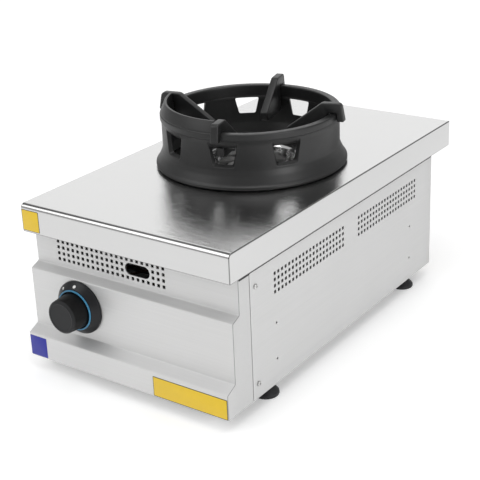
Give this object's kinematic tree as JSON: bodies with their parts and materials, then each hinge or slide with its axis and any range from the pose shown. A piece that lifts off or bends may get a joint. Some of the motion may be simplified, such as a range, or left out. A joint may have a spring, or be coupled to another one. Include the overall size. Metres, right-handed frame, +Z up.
{
  "type": "wok range",
  "caption": "Table-top gas wok range: folded stainless cabinet with perforated panels, cast-iron wok ring with hook-over fingers, single burner, push-and-turn control knob and levelling feet.",
  "frame": {"origin": "on the floor, under the middle of the overall box", "axes": "+Z up, +Y to the back of the range, +X to the right seen from the front"},
  "size_m": [0.4, 0.739, 0.3923],
  "materials": {
    "worktop_steel": "satin stainless, almost polished, fine grain along the depth",
    "panel_steel": "brushed stainless, fine grain along each panel",
    "galvanised_steel": "dull galvanised sheet",
    "zinc_steel": "zinc-plated steel",
    "bowl_steel": "polished stainless pressing",
    "cast_iron": "black satin coating over fine casting grain",
    "burner_iron": "bare grey cast iron",
    "burner_brass": "machined brass",
    "copper_tube": "drawn copper",
    "knob_plastic": "black, fine matt texture",
    "bezel_plastic": "black, semi-gloss",
    "dial_blue": "blue, smooth",
    "foot_plastic": "black moulded plastic",
    "label_yellow": "smooth adhesive film, bare",
    "label_blue": "smooth adhesive film, bare"
  },
  "bodies": {
    "cabinet": {"worktop": "worktop_steel", "front_fascia": "panel_steel", "side_panel_left": "panel_steel", "side_panel_right": "panel_steel", "rear_panel": "panel_steel", "base_tray": "galvanised_steel", "corner_post_front_left": "galvanised_steel", "corner_post_front_right": "galvanised_steel", "corner_post_rear_left": "galvanised_steel", "corner_post_rear_right": "galvanised_steel", "burner_bar": "galvanised_steel", "injector_bar": "galvanised_steel", "side_screw_left_upper": "zinc_steel", "side_screw_left_lower": "zinc_steel", "side_screw_right_upper": "zinc_steel", "side_screw_right_lower": "zinc_steel", "burner_bowl": "bowl_steel", "burner_body": "burner_iron", "pilot_burner": "burner_brass", "thermocouple": "copper_tube", "pilot_bracket": "galvanised_steel", "injector": "burner_brass", "injector_bracket": "galvanised_steel", "gas_rail": "zinc_steel", "gas_inlet_fitting": "burner_brass", "supply_pipe": "copper_tube", "pilot_pipe": "copper_tube", "thermocouple_lead": "copper_tube", "gas_valve": "burner_brass", "dial_bezel": "bezel_plastic", "dial_ring": "dial_blue"},
    "push_rod": {"valve_push_rod": "zinc_steel"},
    "knob": {"knob": "knob_plastic", "valve_spindle": "zinc_steel"},
    "wok_stand": {"wok_ring": "cast_iron", "ring_finger_1": "cast_iron", "ring_finger_2": "cast_iron", "ring_finger_3": "cast_iron", "ring_finger_4": "cast_iron"},
    "burner_cap": {"burner_cap": "burner_brass"},
    "air_shutter": {"air_shutter": "zinc_steel"},
    "foot_front_left": {"foot_pad_front_left": "foot_plastic", "foot_stud_front_left": "zinc_steel"},
    "foot_front_right": {"foot_pad_front_right": "foot_plastic", "foot_stud_front_right": "zinc_steel"},
    "foot_rear_left": {"foot_pad_rear_left": "foot_plastic", "foot_stud_rear_left": "zinc_steel"},
    "foot_rear_right": {"foot_pad_rear_right": "foot_plastic", "foot_stud_rear_right": "zinc_steel"}
  },
  "joints": [
    {"name": "knob_push", "type": "slide", "parent": "cabinet", "child": "push_rod", "axis": [0, 1, 0], "range_m": [0, 0.0035], "stiffness_N_per_m": 2000, "springref_m": -0.004},
    {"name": "knob_turn", "type": "hinge", "parent": "push_rod", "child": "knob", "pos_m": [-0.097, -0.3245, 0.127], "axis": [0, -1, 0], "range_deg": [0, 180]},
    {"name": "wok_stand_lift", "type": "slide", "parent": "cabinet", "child": "wok_stand", "axis": [0, 0, 1], "range_m": [0, 0.15]},
    {"name": "burner_cap_lift", "type": "slide", "parent": "cabinet", "child": "burner_cap", "axis": [0, 0, 1], "range_m": [0, 0.16]},
    {"name": "air_shutter_slide", "type": "slide", "parent": "cabinet", "child": "air_shutter", "axis": [0, -1, 0], "range_m": [0, 0.014]},
    {"name": "foot_front_left_out", "type": "slide", "parent": "cabinet", "child": "foot_front_left", "axis": [0, 0, 1], "range_m": [-0.015, 0]},
    {"name": "foot_front_right_out", "type": "slide", "parent": "cabinet", "child": "foot_front_right", "axis": [0, 0, 1], "range_m": [-0.015, 0]},
    {"name": "foot_rear_left_out", "type": "slide", "parent": "cabinet", "child": "foot_rear_left", "axis": [0, 0, 1], "range_m": [-0.015, 0]},
    {"name": "foot_rear_right_out", "type": "slide", "parent": "cabinet", "child": "foot_rear_right", "axis": [0, 0, 1], "range_m": [-0.015, 0]}
  ]
}
